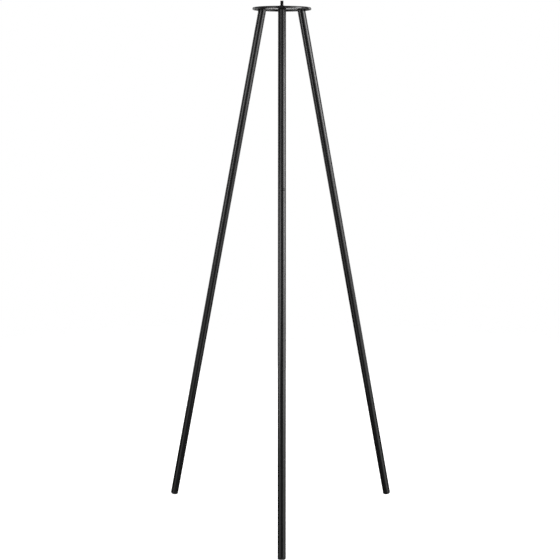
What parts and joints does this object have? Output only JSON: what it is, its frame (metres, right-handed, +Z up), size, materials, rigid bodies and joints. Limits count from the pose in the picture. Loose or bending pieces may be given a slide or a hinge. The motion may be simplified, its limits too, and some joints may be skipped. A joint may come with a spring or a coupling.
{
  "type": "tripod hunting stand",
  "caption": "Take-down tripod stand: dished round steel head plate with an upright centre stud, on splayed legs of slip-fit round tube sections with rounded foot plugs.",
  "frame": {"origin": "on the floor, at the middle of the bounding box of the three feet; the stand's own axis is 108.6 mm behind it, because the single front foot reaches further than the pair behind", "axes": "+Z up along the stand's axis and the stud, the front leg towards -Y, the right and left legs towards +X and -X"},
  "size_m": [0.778, 0.6772, 1.7008],
  "materials": {
    "powder_coat": "black satin powder coat",
    "fastener": "black oxide steel",
    "sleeve_steel": "bare drawn steel, lightly oiled",
    "foot_plastic": "black moulded polyethylene"
  },
  "bodies": {
    "head": {"head_plate": "powder_coat", "centre_bolt": "fastener", "lock_washer": "fastener", "jam_nut": "fastener", "front_spigot": "powder_coat", "right_spigot": "powder_coat", "left_spigot": "powder_coat"},
    "front_upper": {"front_upper_tube": "powder_coat"},
    "front_middle": {"front_middle_tube": "powder_coat", "front_middle_coupler": "sleeve_steel", "front_middle_rivet": "powder_coat"},
    "front_lower": {"front_lower_tube": "powder_coat", "front_lower_coupler": "sleeve_steel", "front_lower_rivet": "powder_coat", "front_foot_plug": "foot_plastic"},
    "right_upper": {"right_upper_tube": "powder_coat"},
    "right_middle": {"right_middle_tube": "powder_coat", "right_middle_coupler": "sleeve_steel", "right_middle_rivet": "powder_coat"},
    "right_lower": {"right_lower_tube": "powder_coat", "right_lower_coupler": "sleeve_steel", "right_lower_rivet": "powder_coat", "right_foot_plug": "foot_plastic"},
    "left_upper": {"left_upper_tube": "powder_coat"},
    "left_middle": {"left_middle_tube": "powder_coat", "left_middle_coupler": "sleeve_steel", "left_middle_rivet": "powder_coat"},
    "left_lower": {"left_lower_tube": "powder_coat", "left_lower_coupler": "sleeve_steel", "left_lower_rivet": "powder_coat", "left_foot_plug": "foot_plastic"}
  },
  "joints": [
    {"name": "front_upper_pull", "type": "slide", "parent": "head", "child": "front_upper", "axis": [0, -0.2122, -0.9772], "range_m": [0, 0.055]},
    {"name": "front_middle_pull", "type": "slide", "parent": "front_upper", "child": "front_middle", "axis": [0, -0.2122, -0.9772], "range_m": [0, 0.048]},
    {"name": "front_lower_pull", "type": "slide", "parent": "front_middle", "child": "front_lower", "axis": [0, -0.2122, -0.9772], "range_m": [0, 0.048]},
    {"name": "right_upper_pull", "type": "slide", "parent": "head", "child": "right_upper", "axis": [0.1838, 0.1061, -0.9772], "range_m": [0, 0.055]},
    {"name": "right_middle_pull", "type": "slide", "parent": "right_upper", "child": "right_middle", "axis": [0.1838, 0.1061, -0.9772], "range_m": [0, 0.048]},
    {"name": "right_lower_pull", "type": "slide", "parent": "right_middle", "child": "right_lower", "axis": [0.1838, 0.1061, -0.9772], "range_m": [0, 0.048]},
    {"name": "left_upper_pull", "type": "slide", "parent": "head", "child": "left_upper", "axis": [-0.1838, 0.1061, -0.9772], "range_m": [0, 0.055]},
    {"name": "left_middle_pull", "type": "slide", "parent": "left_upper", "child": "left_middle", "axis": [-0.1838, 0.1061, -0.9772], "range_m": [0, 0.048]},
    {"name": "left_lower_pull", "type": "slide", "parent": "left_middle", "child": "left_lower", "axis": [-0.1838, 0.1061, -0.9772], "range_m": [0, 0.048]}
  ]
}
